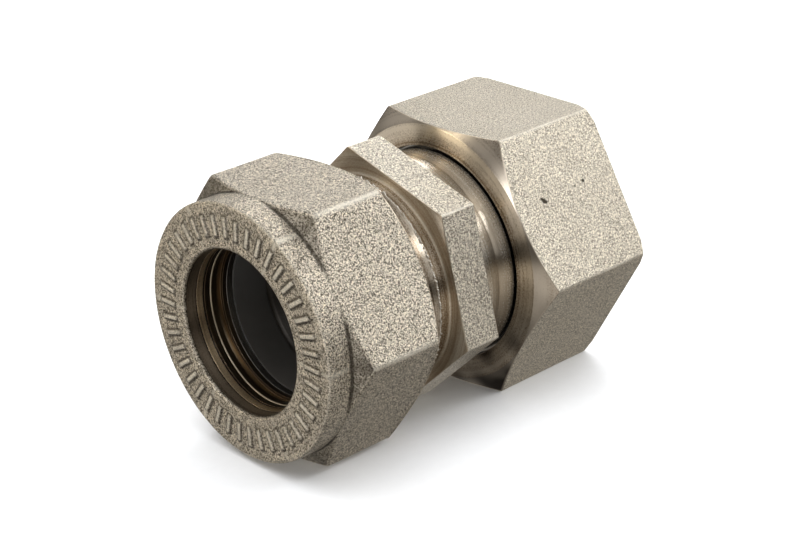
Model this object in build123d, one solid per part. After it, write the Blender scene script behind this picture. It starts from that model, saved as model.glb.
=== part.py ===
from build123d import *
from math import cos, pi, radians, tan
import os

# Coupling between a plain 18 mm pipe and a G3/4 outlet with an inner cone.
# Nickel-plated brass, in millimetres. +X runs along the water way, from the pipe's
# end to the union nut, and +Z is up. The origin is where the axis meets the pipe stop.
# Names that end in _x are places along X. Names that end in _r are radii.

# Driving dimensions: pipe and water way
pipe_d = 18.0
socket_clearance = 0.05
seal_bore_clearance = 0.10
ring_bore_clearance = 0.10
nut_bore_clearance = 0.10
water_way_d = 14.0
socket_length = 6.0
socket_cone_length = 4.5

# Driving dimensions: screw thread between the body and the compression nut. Its
# diameter follows from the pipe, the rubber seal and the socket's wall.
thread_clearance = 0.10
thread_chamfer = 0.6
thread_run_out_gap = 0.80
undercut_depth = 0.70
undercut_length = 2.15
undercut_fillet = 0.25

# Driving dimensions: compression nut
nut_wall = 1.73
nut_length = 14.95
nut_lip_length = 2.75
nut_corner_round = 0.6
nose_step = 0.05
nose_draft = 0.03
nose_length = 3.15
nose_edge_round = 0.35
nose_mouth_chamfer = 0.40
shoulder_angle = 30.0
shoulder_corner_round = 1.2
shoulder_fillet = 0.35
chamber_step = 1.0
thread_bore_start = 6.15
nut_chamfer_angle = 35.0
nut_end_land = 0.65
nut_thread_mouth_chamfer = 0.5

# Driving dimensions: clamp ring, washer and rubber seal inside the nut
clamp_ring_length = 3.0
clamp_ring_lip = 0.15
clamp_ring_side_gap = 0.30
clamp_cone_gap = 0.10
clamp_ring_slot = 1.4
tooth_notch_place = 0.66
tooth_notch_width = 0.12
tooth_notch_depth = 0.18
tooth_groove_place = 1.56
tooth_groove_depth = 0.35
clamp_ring_back_land = 0.60
washer_thickness = 0.8
seal_wall = 1.70
seal_stand_out = 0.65
seal_side_gap = 0.10
seal_end_gap = 0.6
socket_mouth_wall = 1.6

# Driving dimensions: body hexagon and collar
body_flat_wall = 0.35
body_hexagon_thickness = 4.75
body_hexagon_turn = 16.2
body_corner_round = 0.35
collar_d = 24.1
collar_cone_length = 2.4
collar_cone_rise = 0.65

# Driving dimensions: union nut and the wire ring that holds it
union_across_flats = 30.0
union_length = 15.7
union_stand_off = 4.70
union_bore_clearance = 0.35
union_land_length = 3.15
union_corner_round = 0.4
union_chamfer_angle = 30.0
union_face_d = 29.8
union_back_face_d = 33.2
union_thread_minor_d = 24.2
union_thread_major_d = 26.44
wire_d = 1.5
wire_gap = 4.0
wire_clearance = 0.10
wire_place = 1.65

# Driving dimensions: cone end of the body, inside the union nut
cone_end_recess = 1.55
cone_neck_d = 21.2
cone_neck_length = 3.1
cone_base_d = 20.4
cone_tip_d = 17.4
cone_tip_length = 1.0
cone_tip_chamfer = 0.4
o_ring_section_d = 1.8
o_ring_stand_out = 0.30
o_ring_side_gap = 0.05

# Room between a hexagon's rounded corners and the turned outline that trims it
outline_margin = 0.03

# Radii worked out from the driving dimensions
pipe_r = pipe_d / 2
socket_r = pipe_r + socket_clearance
nut_bore_r = pipe_r + nut_bore_clearance
ring_bore_r = pipe_r + ring_bore_clearance
seal_bore_r = pipe_r + seal_bore_clearance
water_way_r = water_way_d / 2
socket_mouth_r = seal_bore_r + seal_wall + seal_side_gap
thread_r = socket_mouth_r + socket_mouth_wall
thread_bore_r = thread_r + thread_clearance
undercut_r = thread_r - undercut_depth
chamber_r = thread_r - chamber_step
clamp_ring_r = chamber_r - clamp_ring_side_gap
nut_across_flats = 2 * (thread_bore_r + nut_wall)
nose_r = nut_across_flats / 2 - nose_step
nut_end_face_r = thread_bore_r + nut_thread_mouth_chamfer + nut_end_land
body_across_flats = 2 * (thread_r + body_flat_wall)
collar_r = collar_d / 2
union_bore_r = collar_r + union_bore_clearance
union_minor_r = union_thread_minor_d / 2
union_major_r = union_thread_major_d / 2
wire_ring_r = collar_r + union_bore_clearance / 2
cone_tip_r = cone_tip_d / 2
cone_base_r = cone_base_d / 2

# Places along X: the body
socket_mouth_x = -(socket_length + socket_cone_length)
undercut_start_x = -thread_run_out_gap
hexagon_front_x = undercut_start_x + undercut_length
hexagon_back_x = hexagon_front_x + body_hexagon_thickness

# Places along X: the stack inside the compression nut, back from the body's mouth
seal_front_x = socket_mouth_x - seal_stand_out
washer_front_x = seal_front_x - washer_thickness
clamp_ring_front_x = washer_front_x - clamp_ring_length
nut_cone_start_x = clamp_ring_front_x - clamp_ring_lip - clamp_cone_gap
nose_x = nut_cone_start_x - nut_lip_length
nut_end_x = nose_x + nut_length

# Places along X: the union nut and the cone end
union_front_x = hexagon_back_x + union_stand_off
union_back_x = union_front_x + union_length
collar_end_x = union_front_x + union_land_length
wire_x = union_front_x + wire_place
cone_end_x = union_back_x - cone_end_recess
cone_base_x = collar_end_x + cone_neck_length
cone_tip_x = cone_end_x - cone_tip_length


def turned(outline, roundings=()):
    """Solid turned about X from a closed (x, radius) outline, with corners rounded first."""
    face = make_face(Polyline(*outline, close=True))
    for (x, radius), size in roundings:
        corner = face.vertices().sort_by_distance((x, radius, 0))[0]
        face = fillet(corner, size)
    return revolve(face, Axis.X)


def hexagon_bar(across_flats, start_x, end_x, corner_round):
    """Hexagon bar along X with a flat on top and softly rounded long edges."""
    outline = RegularPolygon(across_flats / 2, 6, major_radius=False)
    outline = fillet(outline.vertices(), corner_round)
    section = Plane.YZ.offset(start_x) * outline
    return extrude(section, end_x - start_x, dir=(1, 0, 0))


def outline_r(across_flats, corner_round):
    """Radius of a turned outline that just clears a hexagon's rounded corners."""
    corner_r = (across_flats / 2 - corner_round) / cos(pi / 6) + corner_round
    return corner_r + outline_margin


def cone_run(radial_step, angle):
    """Length along X of a chamfer that covers radial_step at an angle to the end face."""
    return radial_step * tan(radians(angle))


def make_compression_nut():
    """Forged nut: round nose, hexagon with a shoulder at each corner, cone and thread bore."""
    envelope_r = outline_r(nut_across_flats, nut_corner_round)
    shoulder_x = nose_x + nose_length
    shoulder_r = nose_r + nose_draft
    shoulder_end_x = shoulder_x + cone_run(envelope_r - shoulder_r, shoulder_angle)
    chamfer_run = cone_run(envelope_r - nut_end_face_r, nut_chamfer_angle)
    outside = turned(
        [
            (nose_x, 0),
            (nose_x, nose_r),
            (shoulder_x, shoulder_r),
            (shoulder_end_x, envelope_r),
            (nut_end_x - chamfer_run, envelope_r),
            (nut_end_x, nut_end_face_r),
            (nut_end_x, 0),
        ],
        [
            ((nose_x, nose_r), nose_edge_round),
            ((shoulder_x, shoulder_r), shoulder_fillet),
            ((shoulder_end_x, envelope_r), shoulder_corner_round),
        ],
    )
    bar = hexagon_bar(nut_across_flats, nose_x, nut_end_x, nut_corner_round)
    cone_end_at_x = nut_cone_start_x + chamber_r - nut_bore_r
    bore_start_x = nose_x + thread_bore_start
    inside = turned(
        [
            (nose_x, 0),
            (nose_x, nut_bore_r + nose_mouth_chamfer),
            (nose_x + nose_mouth_chamfer, nut_bore_r),
            (nut_cone_start_x, nut_bore_r),
            (cone_end_at_x, chamber_r),
            (bore_start_x, chamber_r),
            (bore_start_x, thread_bore_r),
            (nut_end_x - nut_thread_mouth_chamfer, thread_bore_r),
            (nut_end_x, thread_bore_r + nut_thread_mouth_chamfer),
            (nut_end_x, 0),
        ]
    )
    return outside & bar - inside


def make_clamp_ring():
    """Split brass ring with a 45 degree front cone and two tooth grooves in its bore."""
    front_x = clamp_ring_front_x
    back_x = washer_front_x
    bore_r = ring_bore_r
    lip_r = nut_bore_r + clamp_ring_lip
    cone_end = front_x + clamp_ring_r - lip_r
    notch_x = front_x + tooth_notch_place
    tooth_x = notch_x + tooth_notch_width
    ring = turned(
        [
            (front_x, bore_r),
            (front_x, lip_r),
            (cone_end, clamp_ring_r),
            (back_x, clamp_ring_r),
            (back_x, bore_r),
            (back_x - clamp_ring_back_land, bore_r),
            (back_x - clamp_ring_back_land, bore_r + tooth_groove_depth),
            (front_x + tooth_groove_place, bore_r),
            (tooth_x, bore_r),
            (tooth_x, bore_r + tooth_notch_depth),
            (notch_x, bore_r),
        ]
    )
    cutter = Box(2 * clamp_ring_length, 2 * clamp_ring_r, clamp_ring_slot)
    return ring - Pos((front_x + back_x) / 2, -clamp_ring_r, 0) * cutter


def make_thrust_washer():
    """Flat steel washer between the clamp ring and the rubber."""
    return turned(
        [
            (washer_front_x, nut_bore_r),
            (washer_front_x, clamp_ring_r),
            (seal_front_x, clamp_ring_r),
            (seal_front_x, nut_bore_r),
        ]
    )


def socket_cone_r(x):
    """Radius of the body's socket cone at a place along X."""
    share = (x - socket_mouth_x) / socket_cone_length
    return socket_mouth_r + share * (socket_r - socket_mouth_r)


def make_seal_ring():
    """Rubber ring that fills the body's socket cone and stands out of it a little."""
    tip_x = -socket_length - seal_end_gap
    return turned(
        [
            (seal_front_x, seal_bore_r),
            (seal_front_x, socket_mouth_r - seal_side_gap),
            (socket_mouth_x, socket_mouth_r - seal_side_gap),
            (tip_x, socket_cone_r(tip_x) - seal_side_gap),
            (tip_x, seal_bore_r),
        ]
    )


def cone_r(x):
    """Radius of the cone end at a place along X."""
    share = (x - cone_base_x) / (cone_tip_x - cone_base_x)
    return cone_base_r + share * (cone_tip_r - cone_base_r)


def o_ring_centre():
    """Place along X and radius of the centre of the cone's O-ring section."""
    middle_x = (cone_base_x + cone_tip_x) / 2
    return middle_x, cone_r(middle_x) + o_ring_stand_out - o_ring_section_d / 2


def make_body():
    """Turned body: threaded socket, undercut, hexagon, collar with a wire groove, and cone."""
    seal_x, seal_r = o_ring_centre()
    groove_half = o_ring_section_d / 2 + o_ring_side_gap
    groove_floor_r = seal_r - o_ring_section_d / 2 - o_ring_side_gap
    wire_half = wire_d / 2 + wire_clearance
    wire_floor_r = wire_ring_r - wire_half
    front = turned(
        [
            (socket_mouth_x, 0),
            (socket_mouth_x, thread_r - thread_chamfer),
            (socket_mouth_x + thread_chamfer, thread_r),
            (undercut_start_x, thread_r),
            (undercut_start_x, undercut_r),
            (hexagon_front_x, undercut_r),
            (hexagon_front_x, thread_r),
            (hexagon_back_x, thread_r),
            (hexagon_back_x, 0),
        ],
        [((hexagon_front_x, undercut_r), undercut_fillet)],
    )
    back = turned(
        [
            (hexagon_back_x, 0),
            (hexagon_back_x, collar_r + collar_cone_rise),
            (hexagon_back_x + collar_cone_length, collar_r),
            (wire_x - wire_half, collar_r),
            (wire_x - wire_half, wire_floor_r),
            (wire_x + wire_half, wire_floor_r),
            (wire_x + wire_half, collar_r),
            (collar_end_x, collar_r),
            (collar_end_x, cone_neck_d / 2),
            (cone_base_x, cone_neck_d / 2),
            (cone_base_x, cone_base_r),
            (seal_x - groove_half, cone_r(seal_x - groove_half)),
            (seal_x - groove_half, groove_floor_r),
            (seal_x + groove_half, groove_floor_r),
            (seal_x + groove_half, cone_r(seal_x + groove_half)),
            (cone_tip_x, cone_tip_r),
            (cone_end_x - cone_tip_chamfer, cone_tip_r),
            (cone_end_x, cone_tip_r - cone_tip_chamfer),
            (cone_end_x, 0),
        ]
    )
    bar = hexagon_bar(body_across_flats, hexagon_front_x, hexagon_back_x, body_corner_round)
    hexagon = Rot(body_hexagon_turn, 0, 0) * bar
    inside = turned(
        [
            (socket_mouth_x, 0),
            (socket_mouth_x, socket_mouth_r),
            (-socket_length, socket_r),
            (0, socket_r),
            (0, water_way_r),
            (cone_end_x - cone_tip_chamfer, water_way_r),
            (cone_end_x, water_way_r + cone_tip_chamfer),
            (cone_end_x, 0),
        ]
    )
    return front + hexagon + back - inside


def make_cone_o_ring():
    """Rubber O-ring in the groove of the cone."""
    seal_x, seal_r = o_ring_centre()
    section = Pos(seal_x, seal_r) * Circle(o_ring_section_d / 2)
    return revolve(section, Axis.X)


def make_wire_ring():
    """Open ring of round spring wire that sits half in the collar and half in the union nut."""
    open_angle = 360 * wire_gap / (2 * pi * wire_ring_r)
    section = Pos(wire_x, wire_ring_r) * Circle(wire_d / 2)
    ring = revolve(section, Axis.X, 360 - open_angle)
    return Rot(180 + open_angle / 2, 0, 0) * ring


def make_union_nut():
    """Hexagon union nut: front bore with a wire groove, then the G3/4 thread bore."""
    envelope_r = outline_r(union_across_flats, union_corner_round)
    face_r = union_face_d / 2
    back_face_r = union_back_face_d / 2
    outside = turned(
        [
            (union_front_x, 0),
            (union_front_x, face_r),
            (union_front_x + cone_run(envelope_r - face_r, union_chamfer_angle), envelope_r),
            (union_back_x - cone_run(envelope_r - back_face_r, union_chamfer_angle), envelope_r),
            (union_back_x, back_face_r),
            (union_back_x, 0),
        ]
    )
    bar = hexagon_bar(union_across_flats, union_front_x, union_back_x, union_corner_round)
    wire_half = wire_d / 2 + wire_clearance
    mouth_run = union_major_r - union_minor_r
    inside = turned(
        [
            (union_front_x, 0),
            (union_front_x, union_bore_r),
            (wire_x - wire_half, union_bore_r),
            (wire_x - wire_half, wire_ring_r + wire_half),
            (wire_x + wire_half, wire_ring_r + wire_half),
            (wire_x + wire_half, union_bore_r),
            (collar_end_x, union_bore_r),
            (collar_end_x, union_minor_r),
            (union_back_x - mouth_run, union_minor_r),
            (union_back_x, union_major_r),
            (union_back_x, 0),
        ]
    )
    return outside & bar - inside


nodes = {
    "compression_nut": make_compression_nut(),
    "clamp_ring": make_clamp_ring(),
    "thrust_washer": make_thrust_washer(),
    "seal_ring": make_seal_ring(),
    "fitting_body": make_body(),
    "cone_o_ring": make_cone_o_ring(),
    "wire_ring": make_wire_ring(),
    "union_nut": make_union_nut(),
}

os.makedirs("parts", exist_ok=True)
for name, solid in nodes.items():
    export_step(solid, f"parts/{name}.step")
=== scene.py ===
import math
import bpy
import numpy as np
from mathutils import Matrix, Vector


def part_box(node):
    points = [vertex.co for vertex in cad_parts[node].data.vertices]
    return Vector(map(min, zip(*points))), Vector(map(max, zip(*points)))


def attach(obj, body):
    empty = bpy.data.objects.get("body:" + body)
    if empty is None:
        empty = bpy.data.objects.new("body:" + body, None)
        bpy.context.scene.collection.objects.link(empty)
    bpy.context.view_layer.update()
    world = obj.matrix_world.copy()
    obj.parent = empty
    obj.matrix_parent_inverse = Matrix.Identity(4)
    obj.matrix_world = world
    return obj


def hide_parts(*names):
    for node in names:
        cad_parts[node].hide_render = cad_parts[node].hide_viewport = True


# Looks of a coupling between a plain pipe and a cone-seated outlet: forged and turned
# nickel-plated brass. Sizes are in millimetres, and +X runs along the water way. Names
# that end in _x are places along X, and names that end in _r are radii about it.

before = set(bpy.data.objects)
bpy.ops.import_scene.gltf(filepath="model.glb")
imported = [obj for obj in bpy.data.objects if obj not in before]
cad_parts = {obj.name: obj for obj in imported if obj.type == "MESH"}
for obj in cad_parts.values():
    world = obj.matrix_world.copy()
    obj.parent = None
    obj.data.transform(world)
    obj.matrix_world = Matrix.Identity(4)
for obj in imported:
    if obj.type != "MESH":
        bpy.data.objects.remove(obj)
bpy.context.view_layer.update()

MM = 0.001


def span(node):
    """Lowest and highest corner of a solid, in millimetres."""
    low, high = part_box(node)
    return np.array(low) / MM, np.array(high) / MM


# Places and sizes taken from the frame
nut_low, nut_high = span("compression_nut")
ring_low, ring_high = span("clamp_ring")
washer_low, washer_high = span("thrust_washer")
seal_low, seal_high = span("seal_ring")
body_low, body_high = span("fitting_body")
union_low, union_high = span("union_nut")
o_ring_low, o_ring_high = span("cone_o_ring")
nose_x, nut_end_x, nut_flat_r = nut_low[0], nut_high[0], nut_high[2]
ring_front_x, ring_back_x, ring_outer_r = ring_low[0], ring_high[0], ring_high[2]
mouth_x, cone_end_x = body_low[0], body_high[0]
union_front_x, union_back_x, union_flat_r = union_low[0], union_high[0], union_high[2]

# Angle of a hexagon's side, and half of it
side_angle = np.pi / 3
half_side = np.pi / 6

# Mesh detail: steps of a rounding, the most of a side that it takes, and steps round two rings
rounding_steps = 5
rounding_share = 0.45
ring_steps = 240
burr_steps = 1400

# Noise: cells along its lattice, and the radius at which noise that follows the angle is read
lattice_size = 32
noise_r = 60.0

# Pipe side
pipe_bore_r = 9.10
socket_r = 9.05
socket_cone_end_x = -6.0
socket_mouth_r = 10.9
water_way_r = 7.0

# Thread between the body and the compression nut
thread_r = 12.5
thread_bore_r = 12.6
thread_pitch = 1.5
thread_depth = 0.90
thread_full_to_x = -2.9
thread_end_x = -2.2
thread_chamfer = 0.6
undercut_start_x = -0.8
undercut_r = 11.8
burr_height = 0.19

# Shares of a thread's pitch: its flat crest, and both of its flanks
crest_share = 0.12
flank_share = 0.70

# Compression nut. Within a corner angle of a hexagon's corner the mesh is closer, and a swell
# is how uneven a forging is
nut_corner_round = 0.75
nut_corner_angle = math.radians(2.6)
nut_swell = 0.07
nose_r = 14.30
nose_length = 3.15
nose_edge_round = 0.20
hole_edge_round = 0.36
shoulder_slope = math.tan(math.radians(30))
nut_chamfer_slope = math.tan(math.radians(35))
nut_end_face_r = 13.75
chamber_r = 11.5
lip_length = 2.75
lip_band = 0.95
lip_groove = 0.14
thread_bore_start_x = nose_x + 6.15
thread_lead_in = 0.5
mark_count = 42
mark_inner_r = 10.5
mark_outer_r = 12.9
mark_half_width = 0.34
mark_flank = 0.15
mark_height = 0.15
mark_lift = 0.006
mark_dip = 0.002
mark_skirt = 0.27
mark_root = 0.12

# Clamp ring: its lip and slot, its tooth and notch from its front, and its land from its back
ring_lip = 0.15
ring_slot_half = 0.7
tooth_start = 0.86
tooth_end = 1.56
tooth_groove_depth = 0.35
back_land = 0.6
notch_start = 0.66
notch_bottom = 0.74
notch_depth = 0.18

# Body hexagon, collar and cone; a room is half of the width of a ring's groove
body_flat_r = 12.85
body_turn = math.radians(16.2)
body_corner_round = 0.3
body_corner_angle = math.radians(1.8)
body_swell = 0.03
hexagon_front_x = 1.35
hexagon_back_x = 6.1
collar_r = 12.05
collar_cone_r = 12.7
collar_cone_end_x = 8.5
collar_end_x = union_front_x + 3.15
cone_neck_r = 10.6
cone_base_x = collar_end_x + 3.1
cone_base_r = 10.2
cone_tip_x = cone_end_x - 1.0
cone_tip_r = 8.7
cone_chamfer = 0.4
o_ring_radius = 0.9
o_ring_stand_out = 0.30
o_ring_room = 0.95

# Union nut, its thread and the wire ring
union_corner_round = 0.38
union_corner_angle = math.radians(1.8)
union_swell = 0.024
union_face_r = 14.9
union_back_face_r = 16.6
union_chamfer_slope = math.tan(math.radians(30))
union_bore_r = 12.4
union_minor_r = 12.1
union_major_r = 13.22
union_thread_pitch = 1.814
wire_radius = 0.75
wire_x = union_front_x + 1.65
wire_ring_r = 12.225
wire_room = wire_radius + 0.10
wire_gap_half = 2.0

# Painted shade on the turned faces, dark sectors that stand for dark reflections and for the shade
# low down: middle and half width of each sector in degrees, and depth
painted_shade_sectors = (
    (86.0, 8.0, 0.50),
    (118.0, 8.0, 0.22),
    (140.0, 14.0, 0.34),
    (163.0, 6.0, 0.42),
    (188.0, 14.0, 0.18),
    (236.0, 40.0, 0.86),
)

# Painted shade from 0 to 1: on the union nut's top flat and, fainter, its other upper flats, and
# on the thread's land, where it dims a glint
top_flat_shade = 0.27
upper_flat_shade = 0.06
land_shade = 0.45

# Pits in the union nut's skin: place and radius
union_pits = (
    (15.00, -12.50, 8.35, 0.30),
    (14.80, -12.38, 8.57, 0.20),
    (15.25, -12.60, 8.17, 0.20),
    (20.09, -12.38, 8.55, 0.14),
    (21.52, -12.27, 8.75, 0.24),
)

# Colours of worn edges, of a forging's dirt and painted shade, and of a turned face's painted
# shade
worn_color = (0.90, 0.86, 0.76)
grime_color = (0.055, 0.046, 0.036)
painted_shade_color = (0.022, 0.016, 0.011)

# Forged finishes: grains in a metre, colour in the grain's pits and on its tops, roughness,
# relief in millimetres, and dark pits
forged_looks = {
    "nut forging": (10200.0, (0.08, 0.068, 0.052), (0.97, 0.885, 0.74), 0.36, 0.07),
    "union forging": (11400.0, (0.22, 0.195, 0.16), (1.0, 0.925, 0.775), 0.38, 0.05, union_pits),
    "hexagon forging": (9600.0, (0.23, 0.20, 0.16), (1.0, 0.94, 0.81), 0.36, 0.07),
}

# Turned finishes: dark and light colour of their bands, roughness, and marks in a metre
turned_looks = {
    "turned nickel": ((0.32, 0.24, 0.16), (1.0, 0.90, 0.75), 0.28, 5200.0),
    "chamfer nickel": ((0.50, 0.42, 0.33), (0.88, 0.79, 0.67), 0.28, 4200.0),
    # Front nickel: a rougher turning with finer marks, and brighter as painted light on the
    # hexagon's front face in the compression nut's shade
    "front nickel with painted light": ((0.58, 0.46, 0.33), (1.0, 0.93, 0.79), 0.40, 8600.0),
    "collar nickel": ((0.74, 0.67, 0.57), (1.0, 0.96, 0.87), 0.27, 4200.0),
    "burr nickel": ((0.85, 0.80, 0.70), (1.0, 0.96, 0.88), 0.42, 5200.0),
    # Bore brass: brown brass, darker still as painted shade inside the nut's hole
    "bore brass with painted shade": ((0.09, 0.07, 0.05), (0.31, 0.25, 0.185), 0.40, 6000.0),
    # Socket brass: dark as painted shade inside the body's socket and water way
    "socket brass in painted shade": ((0.09, 0.083, 0.076), (0.14, 0.13, 0.12), 0.50, 6000.0),
    "lip brass": ((0.56, 0.42, 0.26), (0.96, 0.77, 0.52), 0.34, 7000.0),
}

# Surround: direction it is bright in, its two colours, and its dark gap's direction and colour
bright_side = (0.70, -0.12, 0.70)
dim_surround = (0.28, 0.265, 0.25)
bright_surround = (1.0, 0.985, 0.96)
sky_gap = (0.62, 0.12, 0.78)
gap_color = (0.30, 0.27, 0.23)

# Glow of the floor in the metal, both ends first: height of the direction plus 1, and brightness
floor_glow = (
    (0.0, 0.10),
    (1.0, 0.07),
    (0.25, 0.33),
    (0.45, 0.48),
    (0.60, 0.67),
    (0.76, 0.65),
    (0.88, 0.22),
)

# Lamps: what they face, the glint lamps' distance, and the wide lamp over the floor
lamp_aim = (4.0, 0.0, 0.0)
glint_lamp_distance = 400.0
floor_lamp_place = (30.0, 60.0, 420.0)
floor_lamp_width = 860.0
floor_lamp_watts = 4.2

# Glint lamps: name, direction, width in millimetres, watts and colour
white, golden = (1.0, 1.0, 1.0), (1.0, 0.88, 0.66)
glint_lamps = (
    ("front lamp", (-0.97, -0.05, 0.20), 100.0, 0.35, white),
    ("left lamp", (-0.79, 0.61, 0.07), 60.0, 0.17, golden),
    ("high left lamp", (-0.73, 0.48, 0.49), 50.0, 0.03, golden),
    ("right lamp", (0.62, -0.56, 0.55), 110.0, 0.285, white),
    ("back lamp", (0.62, 0.49, 0.62), 80.0, 0.20, white),
)

# Camera worked out from the photograph: its place in millimetres and its axes
camera_place = Vector((-127.481, -144.094, 87.089))
camera_right = Vector((0.72611, -0.68691, -0.03030))
camera_up = Vector((0.30191, 0.27893, 0.91162))
camera_lens = 87.5


def rounded_loop(corners, count):
    """Closed outline in the (x, radius) plane, one copy for each of count angles.

    Each corner is (x, radius, rounding, steps). A rounded corner becomes the weighted
    quadratic curve that touches both of its sides, which is a circle's arc. The side that
    follows it gets that many steps, closer near its ends. Returns the points and, for
    each, the number of the side it lies on, or half a number less on a rounding."""
    place = [[np.full(count, x, float), np.full(count, r, float)] for x, r, _, _ in corners]
    place = np.array(place).transpose(0, 2, 1)
    ahead = np.roll(place, -1, 0) - place
    length = np.linalg.norm(ahead, axis=2, keepdims=True)
    ahead = ahead / np.maximum(length, 1e-9)
    behind, behind_length = np.roll(ahead, 1, 0), np.roll(length, 1, 0)
    half_turn = np.arccos(np.clip((ahead * behind).sum(2, keepdims=True), -1, 1)) / 2
    starts, ends = [], []
    for k, (_, _, rounding, _) in enumerate(corners):
        most = rounding_share * np.minimum(length[k], behind_length[k])
        reach = np.minimum(rounding * np.tan(half_turn[k]), most)
        starts.append(place[k] - reach * behind[k])
        ends.append(place[k] + reach * ahead[k])
    points, sides = [], []
    for k, (_, _, rounding, steps) in enumerate(corners):
        arc_steps = rounding_steps if rounding else 0
        s = np.linspace(0, 1, arc_steps + 1)[:, None, None]
        weight = np.cos(half_turn[k])
        parts = (1 - s) ** 2, 2 * s * (1 - s) * weight, s**2
        arc = parts[0] * starts[k] + parts[1] * place[k] + parts[2] * ends[k]
        points.append(arc / (parts[0] + parts[1] + parts[2]))
        sides.append(np.append(np.full(arc_steps, k - 0.5), k))
        t = (1 - np.cos(np.pi * np.arange(1, steps) / steps))[:, None, None] / 2
        points.append(ends[k] + t * (starts[(k + 1) % len(corners)] - ends[k]))
        sides.append(np.full(steps - 1, k))
    return np.concatenate(points), np.concatenate(sides)


def hexagon_angles(turn, corner_angle, flat_steps, corner_steps):
    """Angles about X, from +Y towards +Z: even over each flat and closer at each corner."""
    flat_half = half_side - corner_angle
    flat = np.linspace(-flat_half, flat_half, flat_steps, endpoint=False)
    corner = np.linspace(flat_half, half_side + corner_angle, corner_steps, endpoint=False)
    one_side = half_side + turn + np.concatenate([flat, corner])
    return (one_side[None] + (np.arange(6) * side_angle)[:, None]).ravel()


def off_flat_angle(theta, turn):
    """Angle from the middle of a hexagon's nearest flat, 0 there and half a side at a corner."""
    return np.abs((theta - turn) % side_angle - half_side)


def hexagon_r(theta, flat_r, corner_round, turn):
    """Radius of a rounded hexagon: flat_r over the cosine of the angle from the flat's middle,
    and near a corner the far crossing of the ray with the corner's arc."""
    off_flat = off_flat_angle(theta, turn)
    off_corner = half_side - off_flat
    centre = (flat_r - corner_round) / math.cos(half_side)
    arc_from = math.atan((flat_r - corner_round) * math.tan(half_side) / flat_r)
    half_chord = np.sqrt(np.maximum(corner_round**2 - (centre * np.sin(off_corner)) ** 2, 0))
    on_arc = centre * np.cos(off_corner) + half_chord
    return np.where(off_flat > arc_from, on_arc, flat_r / np.cos(off_flat))


def groove_depth(outline, theta, pitch, fade_in, fade_out):
    """Share of a right-hand thread's depth, 1 in the groove and 0 on the crest.

    The phase is x over the pitch less theta over a turn. The depth fades in from the first
    place of fade_in to the second, and out between those of fade_out."""
    x = outline[..., 0]
    phase = (x / pitch - theta / (2 * np.pi)) % 1.0
    ramp = np.clip((2 * np.abs(phase - 0.5) - crest_share) / flank_share, 0, 1)
    share = ramp * ramp * (3 - 2 * ramp)
    rise = np.clip((x - fade_in[0]) / (fade_in[1] - fade_in[0]), 0, 1)
    fall = np.clip((fade_out[1] - x) / (fade_out[1] - fade_out[0]), 0, 1)
    return share * rise * fall


def lattice_noise(points, cell, seed):
    """Smooth noise from -1 to 1: random values on a cubic lattice, blended by smoothstep."""
    table = np.random.default_rng(seed).uniform(-1, 1, (lattice_size,) * 3)
    scaled = points / cell
    base = np.floor(scaled).astype(int)
    part = scaled - base
    part = part * part * (3 - 2 * part)
    total = np.zeros(points.shape[:-1])
    for corner in np.ndindex(2, 2, 2):
        weight = np.prod(np.where(corner, part, 1 - part), axis=-1)
        index = (base + corner) % lattice_size
        total += weight * table[index[..., 0], index[..., 1], index[..., 2]]
    return total


def ring_points(outline, theta):
    """Outline point (x, radius) at angle theta lies at (x, radius cos theta, radius sin theta)."""
    x, r = outline[..., 0], outline[..., 1]
    return np.stack([x, r * np.cos(theta), r * np.sin(theta)], axis=-1)


def grid_normals(points):
    """Outward unit normals of a grid that closes on itself both ways."""
    along = np.roll(points, -1, 0) - np.roll(points, 1, 0)
    around = np.roll(points, -1, 1) - np.roll(points, 1, 1)
    normal = np.cross(along, around)
    normal /= np.maximum(np.linalg.norm(normal, axis=2, keepdims=True), 1e-12)
    middle = points.mean((0, 1))
    volume_sign = np.sign(((points - middle) * np.cross(along, around)).sum())
    return normal * volume_sign


def inside_out(points, faces):
    """Whether four-sided faces point inwards: six times the volume, which is the sum of
    a . (b x c) over the triangles a, b, c of their halves, is then negative."""
    halves = [points[faces[:, picks].T] for picks in ([0, 1, 2], [0, 2, 3])]
    return sum(np.einsum("ij,ij->", a, np.cross(b, c)) for a, b, c in halves) < 0


def add_layer(mesh, label, values):
    """Keeps a value at every point of a mesh as an attribute, which a finish reads."""
    layer = mesh.attributes.new(label, "FLOAT", "POINT")
    layer.data.foreach_set("value", values.astype(np.float32).ravel())


def scene_object(name, data):
    """New object at the origin, linked to the scene."""
    item = bpy.data.objects.new(name, data)
    bpy.context.scene.collection.objects.link(item)
    return item


def surface_object(name, points, faces, materials, zone=0, **layers):
    """Smooth-shaded mesh object at the origin from points in millimetres, faces outward.

    The zone of a face is the number of its material. Each layer, such as worn edges and painted
    highlight, or dirt and painted shade, is a value from 0 to 1 at every point."""
    if inside_out(points, faces):
        faces = faces[:, ::-1]
    mesh = bpy.data.meshes.new(name)
    mesh.vertices.add(len(points))
    mesh.vertices.foreach_set("co", (points * MM).astype(np.float32).ravel())
    mesh.loops.add(faces.size)
    mesh.loops.foreach_set("vertex_index", faces.astype(np.int32).ravel())
    mesh.polygons.add(len(faces))
    mesh.polygons.foreach_set("loop_start", np.arange(len(faces), dtype=np.int32) * 4)
    mesh.polygons.foreach_set("use_smooth", np.ones(len(faces), dtype=bool))
    for material in materials:
        mesh.materials.append(material)
    mesh.polygons.foreach_set("material_index", np.broadcast_to(zone, len(faces)).astype(np.int32))
    for label, values in layers.items():
        add_layer(mesh, label, values)
    mesh.update(calc_edges=True)
    mesh.validate()
    return scene_object(name, mesh)


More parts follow.
